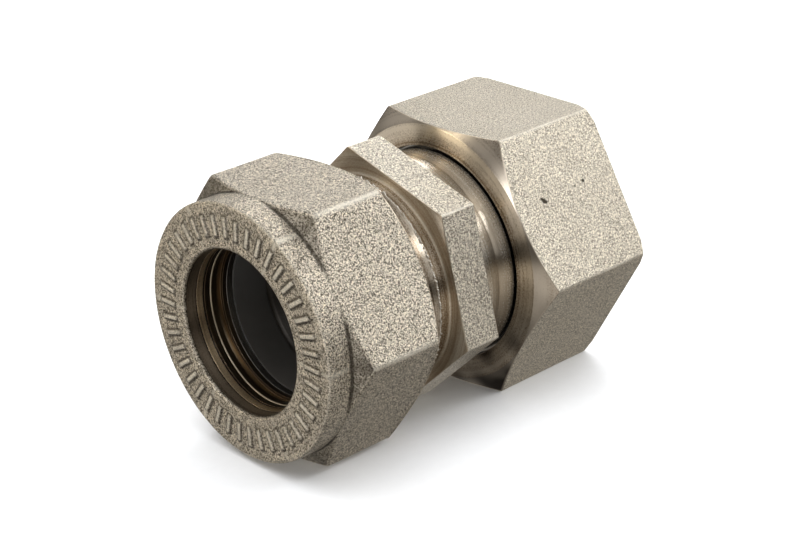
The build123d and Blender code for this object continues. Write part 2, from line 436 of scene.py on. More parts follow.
def grid_faces(rows, columns, rows_close=True, columns_close=True):
    """Four-sided faces of a grid of rows by columns, which may close on itself either way."""
    i = np.arange(rows if rows_close else rows - 1)[:, None]
    j = np.arange(columns if columns_close else columns - 1)[None]
    row, next_row, next_j = i * columns, (i + 1) % rows * columns, (j + 1) % columns
    quads = [row + j, next_row + j, next_row + next_j, row + next_j]
    return np.stack(np.broadcast_arrays(*quads), axis=-1).reshape(-1, 4)


def turned_object(name, points, materials, row_zone=None, **layers):
    """Closed ring object from a grid of points, outline by angle, with a zone for each row."""
    rows, columns = points.shape[:2]
    zone = 0 if row_zone is None else np.repeat(row_zone, columns)
    faces = grid_faces(rows, columns)
    return surface_object(name, points.reshape(-1, 3), faces, materials, zone, **layers)


def between(place, first, last):
    """Whether each point of an outline is on its sides and roundings from first to last."""
    return (place >= first) & (place <= last)


def forged(points, amount, mask):
    """Sinks the masked part of a grid along its normals by up to amount, after two sizes of
    smooth noise."""
    swell = 0.6 * lattice_noise(points, 4.5, 11) + 0.4 * lattice_noise(points, 1.7, 12)
    return points + grid_normals(points) * (amount * (0.5 * swell - 0.5) * mask)[..., None]


def edge_wear(theta, turn, half_width, place, edges):
    """Wear from 0 to 1: full on the profile's named roundings, and at the hexagon's corners on the
    flats, fading within half_width, in radians, of a corner."""
    off_corner = half_side - off_flat_angle(theta, turn)
    corner = np.clip(1 - off_corner / half_width, 0, 1)[None]
    return np.maximum(np.isin(place, edges)[:, None] * 1.0, corner)


def sector_shade(theta, points):
    """Painted shade from 0 to 1 on a turned face, for dark reflections and shade: a hump over each
    of its sectors, mottled.
    """
    total = np.zeros_like(theta)
    for middle, half_width, depth in painted_shade_sectors:
        apart = (np.degrees(theta) - middle + 180) % 360 - 180
        total += depth / (1 + (apart / half_width) ** 4)
    mottle = 1 + 0.5 * lattice_noise(points, 2.4, 31)
    return np.clip(total[None] * mottle, 0, 1)


def make_nose_marks(material):
    """Ring of plain raised bars on the nose face, all in one mesh.

    Over a small grid of radius and width, the height is a rounded step of the distance in from
    the bar's edge, and dirt with painted shade lies along that edge and on a narrow skirt round
    it."""
    share = np.array([0, 0.05, 0.11, 0.3, 0.5, 0.7, 0.89, 0.95, 1.0])
    radius = mark_inner_r + (mark_outer_r - mark_inner_r) * share
    radius = np.concatenate([[radius[0] - mark_skirt], radius, [radius[-1] + mark_skirt]])
    across = mark_half_width * np.array([-1, -0.75, -0.45, 0, 0.45, 0.75, 1])
    across = np.concatenate([[across[0] - mark_skirt], across, [across[-1] + mark_skirt]])
    from_ends = np.minimum(radius - mark_inner_r, mark_outer_r - radius)[:, None]
    inward = np.minimum(from_ends, mark_half_width - np.abs(across)[None])
    rise = np.clip(inward / mark_flank, 0, 1)
    foot = np.where(inward < -0.01, -mark_dip, mark_lift)
    height = (mark_height - mark_lift) * rise * (2 - rise) + foot
    # Dirt and painted shade on each bar's flanks and on a skirt round its foot
    grime = np.clip(1.25 - 1.2 * rise, 0, 1) * np.clip(1.2 + 1.2 * inward / mark_skirt, 0, 1)
    wear = np.clip(rise * 2.0 - 1.0, 0, 1) * 0.7
    rows, columns = height.shape
    count = rows * columns
    turn = np.arange(mark_count) * 2 * np.pi / mark_count
    angle = turn[:, None, None] + across[None, None] / radius[None, :, None]
    x = np.broadcast_to(nose_x + mark_height - height, (mark_count, rows, columns))
    reach = np.broadcast_to(radius[None, :, None], x.shape)
    top = ring_points(np.stack([x, reach], axis=-1), angle).reshape(mark_count, -1, 3)
    under = top.copy()
    under[..., 0] = nose_x + mark_height + mark_root
    points = np.concatenate([top, under], axis=1).reshape(-1, 3)
    upper = grid_faces(rows, columns, rows_close=False, columns_close=False)[:, [0, 3, 2, 1]]
    lower = upper[:, ::-1] + count
    sides = [
        np.arange(columns - 1),
        np.arange(rows - 1) * columns + columns - 1,
        np.arange(columns - 1, 0, -1) + (rows - 1) * columns,
        np.arange(rows - 1, 0, -1) * columns,
    ]
    rim = np.concatenate(sides)
    after = np.roll(rim, -1)
    walls = np.stack([rim + count, after + count, after, rim], axis=-1)
    faces = np.concatenate([upper, lower, walls])
    first_point = (np.arange(mark_count) * 2 * count)[:, None, None]
    faces = (faces + first_point).reshape(-1, 4)
    wear, grime = (np.tile(layer.ravel(), 2 * mark_count) for layer in (wear, grime))
    piece = surface_object("nose_marks", points, faces, (material,), wear=wear, grime=grime)
    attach(piece, "compression_nut")


def make_compression_nut(forging, turning, bore, brass):
    """Forged nut: round nose, hexagon with shoulders at its corners, and threaded bore."""
    theta = hexagon_angles(0.0, nut_corner_angle, 60, 12)
    count = len(theta)
    flat_r = hexagon_r(theta, nut_flat_r, nut_corner_round, 0.0)
    face_x = nose_x + mark_height
    shoulder_x = nose_x + nose_length
    outer_r = np.maximum(flat_r, nose_r + 0.06)
    shoulder_end_x = shoulder_x + (outer_r - nose_r) * shoulder_slope
    chamfer_x = nut_end_x - np.maximum(flat_r - nut_end_face_r, 0.05) * nut_chamfer_slope
    cone_start_x = nose_x + lip_length
    cone_end = cone_start_x + chamber_r - pipe_bore_r
    band_x = cone_start_x - lip_band

    # Sides: 0 nose face, 1 nose, 2 shoulder, 3 flat, 4 chamfer, 5 and 6 rear end, 7 thread,
    # 8 and 9 chamber, 10 cone, 11 lip, 12 to 14 lip's groove, 15 hole
    corners = [
        (face_x, pipe_bore_r, hole_edge_round, 12),
        (face_x, nose_r, nose_edge_round, 5),
        (shoulder_x, nose_r + 0.03, 0.30, 8),
        (shoulder_end_x, outer_r, 0.45, 22),
        (chamfer_x, flat_r, 0.22, 4),
        (nut_end_x, nut_end_face_r, 0.08, 3),
        (nut_end_x, thread_bore_r + thread_lead_in, 0.10, 3),
        (nut_end_x - thread_lead_in, thread_bore_r, 0, 78),
        (thread_bore_start_x, thread_bore_r, 0, 3),
        (thread_bore_start_x, chamber_r, 0, 3),
        (cone_end, chamber_r, 0, 6),
        (cone_start_x, pipe_bore_r, 0.06, 3),
        (band_x + lip_groove, pipe_bore_r, 0.02, 1),
        (band_x + lip_groove, pipe_bore_r + lip_groove, 0, 1),
        (band_x, pipe_bore_r + lip_groove, 0, 1),
        (band_x, pipe_bore_r, 0.02, 5),
    ]
    outline, place = rounded_loop(corners, count)
    fade_in = thread_bore_start_x, thread_bore_start_x + 0.7
    fade_out = nut_end_x - 1.1, nut_end_x - thread_lead_in
    ridge = groove_depth(outline, theta, thread_pitch, fade_in, fade_out)
    outline[..., 1] -= np.where((place == 7)[:, None], thread_depth * ridge, 0)
    outside = between(place, -0.5, 3)[:, None] * np.ones(count)
    points = forged(ring_points(outline, theta), nut_swell, outside * (place >= 0.5)[:, None])
    worn_share = np.where(place == 0.5, 0.3, 1.0)[:, None]
    wear = edge_wear(theta, 0.0, 0.030, place, (0.5,)) * outside * worn_share
    radius = np.hypot(points[..., 1], points[..., 2])
    stretch = [np.full_like(radius, 0.4), noise_r / radius, noise_r / radius]
    unit = points * np.stack(stretch, axis=-1)
    # Dark streaks of forging dirt, with painted shade, in the shoulder recesses at the corners
    streaks = 0.60 + 0.45 * lattice_noise(unit, 1.3, 21)
    near_corner = np.clip((outer_r - nose_r) / 0.5, 0, 1)[None]
    shoulder = between(place, 1.5, 2)[:, None] * near_corner
    # Painted shade along the bend between the nose and its shoulders
    crease = (place == 1.5)[:, None] * near_corner
    # Painted shade in the lip's groove
    groove = between(place, 12.5, 14.5)[:, None] * 1.0
    # A mottled darkening over the nose face and the rounding into its hole
    face = (place <= 0)[:, None] * (0.27 + 0.14 * lattice_noise(points, 1.1, 23))
    # Painted shade that dims a glint on the rear end
    end_face = between(place, 4.5, 6.5)[:, None] * 0.40
    grime = np.clip(shoulder * streaks * 0.95 + 0.55 * crease + groove + face + end_face, 0, 1)
    wear *= 1 - np.clip(shoulder, 0, 1)
    zone = np.select([place <= 3, place >= 15, between(place, 11, 11.5)], [0, 2, 3], 1)
    finishes = (forging, turning, bore, brass)
    piece = turned_object("nut_forging", points, finishes, zone, wear=wear, grime=grime)
    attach(piece, "compression_nut")
    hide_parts("compression_nut")


def make_union_nut(forging, turning, chamfer):
    """Union nut: crisp hexagon with end chamfers, front bore, wire groove and pipe thread."""
    theta = hexagon_angles(0.0, union_corner_angle, 46, 12)
    count = len(theta)
    flat_r = hexagon_r(theta, union_flat_r, union_corner_round, 0.0)
    front_run = (flat_r - union_face_r) * union_chamfer_slope
    back_run = np.maximum(flat_r - union_back_face_r, 0.0) * union_chamfer_slope
    thread_start_x = collar_end_x + 1.2

    # Sides: 0 front face, 1 front chamfer, 2 flat, 3 rear chamfer, 4 and 5 rear end, 6 thread,
    # 7 step, 8 and 12 bore, 9 to 11 wire groove
    corners = [
        (union_front_x, union_bore_r, 0.05, 8),
        (union_front_x, union_face_r, 0.08, 6),
        (union_front_x + front_run, flat_r, 0.14, 26),
        (union_back_x - back_run, flat_r, 0.14, 4),
        (union_back_x, np.minimum(flat_r, union_back_face_r), 0.14, 6),
        (union_back_x, union_major_r, 0.10, 4),
        (union_back_x - (union_major_r - union_minor_r), union_minor_r, 0, 130),
        (collar_end_x, union_minor_r, 0, 3),
        (collar_end_x, union_bore_r, 0, 3),
        (wire_x + wire_room, union_bore_r, 0.05, 3),
        (wire_x + wire_room, wire_ring_r + wire_room, 0, 3),
        (wire_x - wire_room, wire_ring_r + wire_room, 0, 3),
        (wire_x - wire_room, union_bore_r, 0.05, 4),
    ]
    outline, place = rounded_loop(corners, count)
    fade_in = thread_start_x, thread_start_x + 0.8
    fade_out = union_back_x, union_back_x + 1.0
    groove = groove_depth(outline, theta, union_thread_pitch, fade_in, fade_out)
    deepest = np.minimum(union_major_r, outline[..., 1] + (union_major_r - union_minor_r) * groove)
    outline[..., 1] = np.where((place == 6)[:, None], deepest, outline[..., 1])
    on_flats = between(place, 2, 2.5)
    flats = on_flats[:, None] * np.ones(count)
    points = forged(ring_points(outline, theta), union_swell, flats)
    wear = edge_wear(theta, 0.0, 0.014, place, (1.5, 2.5)) * flats
    # Painted shade in the bore and the wire groove, and at the inner edge of the front face
    grime = np.select([place >= 8, place == -0.5], [1.0, 0.6], 0.0)[:, None] * np.ones(count)
    # Painted shade in sectors on the front face and, half as deep, the front chamfer, for dark
    # reflections and to dim a glint
    face = np.select([between(place, 0, 1), place <= 1.5], [1.0, 0.5], 0.0)[:, None]
    grime = np.maximum(grime, face * sector_shade(theta, points))
    # Painted shade on the top flat and, fainter, on the other upper flats
    flat_shade = np.select([np.sin(theta) > 0.87, np.sin(theta) > 0], [top_flat_shade, upper_flat_shade], 0)
    grime = np.maximum(grime, flats * flat_shade)
    zone = np.select([on_flats, between(place, 1, 1.5)], [0, 2], 1)
    finishes = (forging, turning, chamfer)
    piece = turned_object("union_nut_forging", points, finishes, zone, wear=wear, grime=grime)
    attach(piece, "union_nut")
    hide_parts("union_nut")


def make_body(turning, forging, bore, front, collar):
    """Body: threaded socket, undercut, forged hexagon with turned faces, collar and cone end."""
    theta = hexagon_angles(body_turn, body_corner_angle, 36, 8)
    count = len(theta)
    flat_r = hexagon_r(theta, body_flat_r, body_corner_round, body_turn)
    groove_x = (cone_base_x + cone_tip_x) / 2
    groove_r = (cone_base_r + cone_tip_r) / 2
    groove_floor_r = groove_r + o_ring_stand_out - o_ring_radius - o_ring_room
    cone_slope = (cone_base_r - cone_tip_r) / (cone_tip_x - cone_base_x)
    lip_r = groove_r + cone_slope * o_ring_room
    far_lip_r = groove_r - cone_slope * o_ring_room

    # Sides: 0 and 1 mouth, 2 thread, 3 land's end, 4 undercut, 5 to 7 hexagon, 8 to 15 collar
    # with its wire groove, 16 to 26 neck and cone with its O-ring groove, 27 to 30 bores
    corners = [
        (mouth_x, socket_mouth_r, 0.1, 3),
        (mouth_x, thread_r - thread_chamfer, 0.1, 4),
        (mouth_x + thread_chamfer, thread_r, 0, 96),
        (undercut_start_x, thread_r, 0.06, 4),
        (undercut_start_x, undercut_r, 0.10, 6),
        (hexagon_front_x, undercut_r, 0.25, 8),
        (hexagon_front_x, flat_r, 0.10, 10),
        (hexagon_back_x, flat_r, 0.10, 6),
        (hexagon_back_x, collar_cone_r, 0.25, 6),
        (collar_cone_end_x, collar_r, 0.6, 6),
        (union_front_x + 0.02, collar_r, 0, 2),
        (wire_x - wire_room, collar_r, 0.05, 3),
        (wire_x - wire_room, wire_ring_r - wire_room, 0, 3),
        (wire_x + wire_room, wire_ring_r - wire_room, 0, 3),
        (wire_x + wire_room, collar_r, 0.05, 3),
        (collar_end_x, collar_r, 0.1, 3),
        (collar_end_x, cone_neck_r, 0.1, 3),
        (cone_base_x, cone_neck_r, 0.1, 2),
        (cone_base_x, cone_base_r, 0.1, 4),
        (groove_x - o_ring_room, lip_r, 0.05, 2),
        (groove_x - o_ring_room, groove_floor_r, 0, 3),
        (groove_x + o_ring_room, groove_floor_r, 0, 2),
        (groove_x + o_ring_room, far_lip_r, 0.05, 4),
        (cone_tip_x, cone_tip_r, 0.1, 2),
        (cone_end_x - cone_chamfer, cone_tip_r, 0.1, 2),
        (cone_end_x, cone_tip_r - cone_chamfer, 0.1, 3),
        (cone_end_x, water_way_r + cone_chamfer, 0.1, 2),
        (cone_end_x - cone_chamfer, water_way_r, 0.1, 16),
        (0.0, water_way_r, 0.1, 4),
        (0.0, socket_r, 0, 6),
        (socket_cone_end_x, socket_r, 0.2, 5),
    ]
    outline, place = rounded_loop(corners, count)
    fade_in, fade_out = (mouth_x - 1.0, mouth_x - 0.5), (thread_full_to_x, thread_end_x)
    groove = groove_depth(outline, theta, thread_pitch, fade_in, fade_out)
    outline[..., 1] -= np.where((place == 2)[:, None], thread_depth * groove, 0)
    flats = (place == 6)[:, None] * np.ones(count)
    points = forged(ring_points(outline, theta), body_swell, flats)
    wear = edge_wear(theta, body_turn, 0.016, place, (5.5, 6.5)) * flats
    # Painted shade where the collar runs under the union nut and in its wire groove
    grime = between(place, 10, 14.5)[:, None] * np.ones(count)
    # Painted shade in sectors on the undercut and the hexagon's turned faces, for dark reflections
    waist = (between(place, 3.5, 7.5) & (place != 6))[:, None]
    grime = np.maximum(grime, 0.3 * waist * sector_shade(theta, points))
    # Painted shade on the thread and its land's end, which dims a glint there
    grime = np.maximum(grime, between(place, 2, 3)[:, None] * land_shade)
    zones = [place == 6, place >= 27, between(place, 4.5, 5.5), between(place, 8, 10.5)]
    zone = np.select(zones, [1, 2, 3, 4], 0)
    finishes = (turning, forging, bore, front, collar)
    piece = turned_object("body_turning", points, finishes, zone, wear=wear, grime=grime)
    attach(piece, "body")
    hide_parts("fitting_body")


def make_burr(material):
    """Thin ragged burr along the thread land's rear edge: a ring whose height follows noise."""
    theta = np.linspace(0, 2 * np.pi, burr_steps, endpoint=False)
    places = [np.full_like(theta, 3.0), noise_r * np.cos(theta), noise_r * np.sin(theta)]
    unit = np.stack(places, axis=-1)
    coarse, fine = lattice_noise(unit, 1.1, 5), lattice_noise(unit, 0.45, 6)
    ragged = np.clip(0.35 + 1.3 * coarse + fine, 0.02, 1.3)
    height = burr_height * ragged
    lean = 0.14 * lattice_noise(unit, 0.8, 7)
    rest = np.zeros_like(theta)
    rows = [
        (undercut_start_x - 0.12 + rest, thread_r - 0.03 + rest),
        (undercut_start_x - 0.05 + lean, thread_r + height),
        (undercut_start_x + 0.04 + lean, thread_r + 0.8 * height),
        (undercut_start_x + 0.02 + rest, thread_r - 0.10 + rest),
    ]
    outline = np.array(rows).transpose(0, 2, 1)
    piece = turned_object("thread_burr", ring_points(outline, theta), (material,))
    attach(piece, "body")


def plain_ring(name, corners, node, material):
    """Turned ring with the same section all round, riding on the body and standing for a solid."""
    theta = np.linspace(0, 2 * np.pi, ring_steps, endpoint=False)
    outline, _ = rounded_loop(corners, len(theta))
    piece = turned_object(name, ring_points(outline, theta), (material,))
    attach(piece, "body")
    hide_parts(node)


def open_ring(name, section, gap_half, middle, material, **layers):
    """Ring cut by a parallel slot: its section (x, radius) is carried round from one wall of
    the slot to the other, so the end angle at a radius is arcsin(gap_half over radius)."""
    share = np.linspace(0, 1, ring_steps)[None]
    end = np.arcsin(gap_half / section[:, 1])[:, None]
    theta = middle + end + share * (2 * np.pi - 2 * end)
    outline = np.repeat(section[:, None], ring_steps, axis=1)
    points = ring_points(outline, theta).reshape(-1, 3)
    quads = grid_faces(len(section), ring_steps, columns_close=False)
    first_end = np.arange(len(section)) * ring_steps
    ends = [first_end[::-1].tolist(), (first_end + ring_steps - 1).tolist()]
    mesh = bpy.data.meshes.new(name)
    mesh.from_pydata((points * MM).tolist(), [], quads.tolist() + ends)
    if inside_out(points, quads):
        mesh.flip_normals()
    mesh.polygons.foreach_set("use_smooth", np.arange(len(quads) + 2) < len(quads))
    for label, values in layers.items():
        add_layer(mesh, label, np.repeat(values, ring_steps))
    mesh.materials.append(material)
    mesh.update()
    return scene_object(name, mesh)


def round_section(centre_x, centre_r, radius, steps):
    """Circle in the (x, radius) plane: its centre plus radius times (cos, sin) of the turn."""
    turn = np.linspace(0, 2 * np.pi, steps, endpoint=False)
    return np.stack([centre_x + radius * np.cos(turn), centre_r + radius * np.sin(turn)], axis=-1)


def make_clamp_ring(material):
    """Split brass ring: a front cone, and a notch, a tooth and a sloping groove in its bore."""
    lip_r = pipe_bore_r + ring_lip
    corners = [
        (ring_front_x, pipe_bore_r, 0.03, 2),
        (ring_front_x, lip_r, 0.04, 5),
        (ring_front_x + ring_outer_r - lip_r, ring_outer_r, 0.1, 3),
        (ring_back_x, ring_outer_r, 0.06, 5),
        (ring_back_x, pipe_bore_r, 0.04, 3),
        (ring_back_x - back_land, pipe_bore_r, 0.03, 3),
        (ring_back_x - back_land, pipe_bore_r + tooth_groove_depth, 0.04, 5),
        (ring_front_x + tooth_end, pipe_bore_r, 0.06, 4),
        (ring_front_x + tooth_start, pipe_bore_r, 0.12, 2),
        (ring_front_x + notch_bottom, pipe_bore_r + notch_depth, 0.02, 2),
        (ring_front_x + notch_start, pipe_bore_r, 0.03, 4),
    ]
    outline, place = rounded_loop(corners, 1)
    # Painted highlight, a light colour, on the notch's back flank and, half as bright, the tooth's
    # edge
    wear = np.select([place == 8, place == 7.5], [1.0, 0.5], 0.0)
    piece = open_ring("split_ring", outline[:, 0], ring_slot_half, np.pi, material, wear=wear)
    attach(piece, "ring_carrier")
    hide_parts("clamp_ring")


def make_wire_ring(material):
    """Open ring of round spring wire, half in the collar and half in the union nut."""
    section = round_section(wire_x, wire_ring_r, wire_radius, 20)
    piece = open_ring("spring_wire", section, wire_gap_half, np.pi, material)
    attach(piece, "body")
    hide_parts("wire_ring")


def make_inner_rings(steel, rubber):
    """Washer, rubber seal and the cone's O-ring."""
    outer = washer_high[2]
    corners = [
        (washer_low[0], pipe_bore_r, 0.06, 3),
        (washer_low[0], outer, 0.06, 2),
        (washer_high[0], outer, 0.06, 3),
        (washer_high[0], pipe_bore_r, 0.06, 2),
    ]
    plain_ring("washer", corners, "thrust_washer", steel)
    seal_r = seal_high[2]
    tip_x = seal_high[0]
    slope = (socket_r - socket_mouth_r) / (socket_cone_end_x - mouth_x)
    tip_r = socket_mouth_r + slope * (tip_x - mouth_x)
    corners = [
        (seal_low[0], pipe_bore_r, 0.2, 3),
        (seal_low[0], seal_r, 0.15, 2),
        (mouth_x, seal_r, 0.1, 4),
        (tip_x, tip_r - 0.1, 0.03, 2),
        (tip_x, pipe_bore_r, 0.03, 6),
    ]
    plain_ring("rubber_seal", corners, "seal_ring", rubber)
    centre_x = (o_ring_low[0] + o_ring_high[0]) / 2
    radius = (o_ring_high[0] - o_ring_low[0]) / 2
    section = round_section(centre_x, o_ring_high[2] - radius, radius, 24)
    theta = np.linspace(0, 2 * np.pi, ring_steps, endpoint=False)
    outline = np.repeat(section[:, None], len(theta), axis=1)
    piece = turned_object("cone_seal", ring_points(outline, theta), (rubber,))
    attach(piece, "body")
    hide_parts("cone_o_ring")


def feed(value, socket):
    """Gives an input socket a number, a colour or what an output socket carries."""
    if isinstance(value, bpy.types.NodeSocket):
        socket.id_data.links.new(value, socket)
    elif isinstance(value, tuple):
        socket.default_value = (*value, 1.0)
    else:
        socket.default_value = value


def group_tree(name, inputs, outputs):
    """Empty shader group with named float inputs, each with its default, and float outputs."""
    tree = bpy.data.node_groups.new(name, "ShaderNodeTree")
    for label, value in inputs:
        socket = tree.interface.new_socket(label, in_out="INPUT", socket_type="NodeSocketFloat")
        socket.default_value = value
    for label in outputs:
        tree.interface.new_socket(label, in_out="OUTPUT", socket_type="NodeSocketFloat")
    return tree, tree.nodes.new("NodeGroupInput"), tree.nodes.new("NodeGroupOutput")


def math_node(tree, kind, *values):
    """Math node of a kind, with sockets or numbers as its inputs; returns its output."""
    node = tree.nodes.new("ShaderNodeMath")
    node.operation = kind
    for socket, value in zip(node.inputs, values):
        feed(value, socket)
    return node.outputs[0]


def vector_node(tree, kind, vector, fixed=None):
    """Vector math node on a socket and, where given, a fixed vector; returns its value output."""
    node = tree.nodes.new("ShaderNodeVectorMath")
    node.operation = kind
    feed(vector, node.inputs[0])
    if fixed is not None:
        node.inputs[1].default_value = fixed
    return node.outputs["Value"]


def object_place(tree):
    """Place on the object in metres."""
    return tree.nodes.new("ShaderNodeTexCoord").outputs["Object"]


def noise_node(tree, vector, scale, detail=2.0, roughness=0.5):
    """Noise texture on a vector; returns its value output."""
    node = tree.nodes.new("ShaderNodeTexNoise")
    settings = {"Vector": vector, "Scale": scale, "Detail": detail, "Roughness": roughness}
    for label, value in settings.items():
        feed(value, node.inputs[label])
    return node.outputs["Fac"]


def ranged(tree, value, low, high, new_low=0.0, new_high=1.0):
    """Value carried from one range to another, clamped."""
    node = tree.nodes.new("ShaderNodeMapRange")
    labels = ("Value", "From Min", "From Max", "To Min", "To Max")
    for label, number in zip(labels, (value, low, high, new_low, new_high)):
        feed(number, node.inputs[label])
    return node.outputs["Result"]


def blended(tree, mask, first, second):
    """Colour that goes from first to second with a mask; each is a colour or a socket."""
    node = tree.nodes.new("ShaderNodeMix")
    node.data_type = "RGBA"
    for label, value in (("Factor", mask), ("A", first), ("B", second)):
        feed(value, node.inputs[label])
    return node.outputs["Result"]


def forged_grain_group():
    """Blasted forging skin: height from fine and coarse grain, a mask that is 0 in the pits and 1
    on the tops, and slow blotches."""
    inputs = [("Grain per metre", 8600.0)]
    tree, group_in, group_out = group_tree("forged grain", inputs, ["Height", "Tops", "Blotches"])
    place = object_place(tree)
    scale = group_in.outputs["Grain per metre"]
    fine = noise_node(tree, place, scale, 1.0, 0.6)
    coarse = noise_node(tree, place, math_node(tree, "MULTIPLY", scale, 0.45), 0.0)
    height = math_node(tree, "ADD", fine, math_node(tree, "MULTIPLY", coarse, 0.35))
    feed(height, group_out.inputs["Height"])
    feed(ranged(tree, height, 0.57, 0.78), group_out.inputs["Tops"])
    feed(noise_node(tree, place, 260.0), group_out.inputs["Blotches"])
    return tree


def turned_marks_group():
    """Tool marks that run round the X axis: noise on x and on the distance from the axis, so that
    they are rings on end faces and bands on cylinders, with a little even grain."""
    inputs = [("Marks per metre", 5200.0), ("Drift", 1.2)]
    tree, group_in, group_out = group_tree("turned marks", inputs, ["Height", "Bands"])
    place = object_place(tree)
    parts = tree.nodes.new("ShaderNodeSeparateXYZ")
    feed(place, parts.inputs[0])
    squares = [math_node(tree, "MULTIPLY", part, part) for part in parts.outputs[1:]]
    across = math_node(tree, "SQRT", math_node(tree, "ADD", *squares))
    turn = math_node(tree, "DIVIDE", parts.outputs["Z"], across)
    scale, drift = group_in.outputs["Marks per metre"], group_in.outputs["Drift"]
    combined = tree.nodes.new("ShaderNodeCombineXYZ")
    stretched = {"X": (parts.outputs["X"], scale), "Y": (across, scale), "Z": (turn, drift)}
    for axis, factors in stretched.items():
        feed(math_node(tree, "MULTIPLY", *factors), combined.inputs[axis])
    lathe = combined.outputs[0]
    feed(noise_node(tree, lathe, 1.0, 2.0, 0.6), group_out.inputs["Height"])
    fine_bands = noise_node(tree, lathe, 0.34, 3.0, 0.7)
    broad_bands = noise_node(tree, lathe, 0.07, 1.0)
    bands = math_node(tree, "MULTIPLY", math_node(tree, "ADD", fine_bands, broad_bands), 0.5)
    even_grain = math_node(tree, "SUBTRACT", noise_node(tree, place, 8000.0, 0.0), 0.5)
    evened = math_node(tree, "ADD", bands, math_node(tree, "MULTIPLY", even_grain, 0.22))
    feed(evened, group_out.inputs["Bands"])
    return tree


def blank_material(name, color, metallic, roughness):
    """Material with its Principled shader set; returns the material, tree and shader."""
    material = bpy.data.materials.new(name)
    material.use_nodes = True
    tree = material.node_tree
    shader = tree.nodes["Principled BSDF"]
    shader.inputs["Base Color"].default_value = (*color, 1.0)
    shader.inputs["Metallic"].default_value = metallic
    shader.inputs["Roughness"].default_value = roughness
    return material, tree, shader


def placed_group(tree, group, **values):
    """Group node in a material with its inputs set by name."""
    node = tree.nodes.new("ShaderNodeGroup")
    node.node_tree = group
    for label, value in values.items():
        node.inputs[label.replace("_", " ")].default_value = value
    return node


def roughened(tree, shader, value, low, high):
    """Roughness from low to high as a value goes from 0.3 to 0.7."""
    feed(ranged(tree, value, 0.3, 0.7, low, high), shader.inputs["Roughness"])


def bumped(tree, shader, height, distance, strength):
    """Bump from a height into the shader's normal, its distance in millimetres."""
    node = tree.nodes.new("ShaderNodeBump")
    node.inputs["Distance"].default_value = distance * MM
    node.inputs["Strength"].default_value = strength
    feed(height, node.inputs["Height"])
    feed(node.outputs["Normal"], shader.inputs["Normal"])


def layer_value(tree, label):
    """Value of a mesh's point attribute."""
    node = tree.nodes.new("ShaderNodeAttribute")
    node.attribute_name = label
    return node.outputs["Fac"]


def pitted(tree, mask, pits):
    """Mask raised to 1 inside small pits, each given by its place and radius in millimetres."""
    place = object_place(tree)
    for x, y, z, radius in pits:
        apart = vector_node(tree, "DISTANCE", place, (x * MM, y * MM, z * MM))
        pit = ranged(tree, apart, 0.8 * radius * MM, radius * MM, 1.0, 0.0)
        mask = math_node(tree, "MAXIMUM", mask, pit)
    return mask


def forged_material(name, grain, per_metre, pit_color, top_color, roughness, relief, pits=()):
    """Nickel-plated brass forging with a blasted grain, dark in its pits, worn at its edges, and
    darkened by dirt and painted shade where the mesh's dirt and shade layer has it."""
    material, tree, shader = blank_material(name, top_color, 1.0, roughness)
    skin = placed_group(tree, grain, Grain_per_metre=per_metre)
    clean = blended(tree, skin.outputs["Tops"], pit_color, top_color)
    patchy = ranged(tree, skin.outputs["Blotches"], 0.3, 0.6, 0.3, 0.9)
    worn = math_node(tree, "MULTIPLY", layer_value(tree, "wear"), patchy)
    brightened = blended(tree, worn, clean, worn_color)
    # Dirt and painted shade from the mesh's layer darken the colour, as do the pits
    grimy_and_shaded = math_node(tree, "MULTIPLY", layer_value(tree, "grime"), 0.85)
    if pits:
        grimy_and_shaded = pitted(tree, grimy_and_shaded, pits)
    feed(blended(tree, grimy_and_shaded, brightened, grime_color), shader.inputs["Base Color"])
    roughened(tree, shader, skin.outputs["Blotches"], roughness - 0.05, roughness + 0.07)
    bumped(tree, shader, skin.outputs["Height"], relief, 1.0)
    return material


def turned_material(name, marks, dark, light, roughness, per_metre):
    """Turned brass with tool marks round the axis, which spread its glints across the marks, and
    painted shade where the mesh's dirt and shade layer has it."""
    material, tree, shader = blank_material(name, light, 1.0, roughness)
    lathe = placed_group(tree, marks, Marks_per_metre=per_metre, Drift=2.2)
    bands = ranged(tree, lathe.outputs["Bands"], 0.38, 0.60)
    clean = blended(tree, bands, dark, light)
    # Painted shade from the mesh's layer darkens the colour
    grimy_and_shaded = blended(tree, layer_value(tree, "grime"), clean, painted_shade_color)
    feed(grimy_and_shaded, shader.inputs["Base Color"])
    roughened(tree, shader, lathe.outputs["Bands"], roughness - 0.05, roughness + 0.06)
    bumped(tree, shader, lathe.outputs["Height"], 0.018, 1.0)
    shader.inputs["Anisotropic"].default_value = 0.93
    shader.inputs["Anisotropic Rotation"].default_value = 0.25
    tangent = tree.nodes.new("ShaderNodeTangent")
    tangent.direction_type = "RADIAL"
    tangent.axis = "X"
    feed(tangent.outputs["Tangent"], shader.inputs["Tangent"])
    return material


def bare_brass_material(marks):
    """Bare turned brass of the clamp ring, with a painted highlight along its notch's back flank
    and its tooth's edge.
    """
    material, tree, shader = blank_material("bare brass", (0.60, 0.40, 0.18), 1.0, 0.28)
    lathe = placed_group(tree, marks, Marks_per_metre=7000.0, Drift=0.6)
    brass = blended(tree, lathe.outputs["Bands"], (0.16, 0.12, 0.08), (0.34, 0.26, 0.17))
    notch_highlight = layer_value(tree, "wear")
    feed(blended(tree, notch_highlight, brass, (1.0, 0.90, 0.70)), shader.inputs["Base Color"])
    feed(ranged(tree, notch_highlight, 0.0, 1.0, 0.30, 0.42), shader.inputs["Roughness"])
    bumped(tree, shader, lathe.outputs["Height"], 0.012, 0.6)
    return material


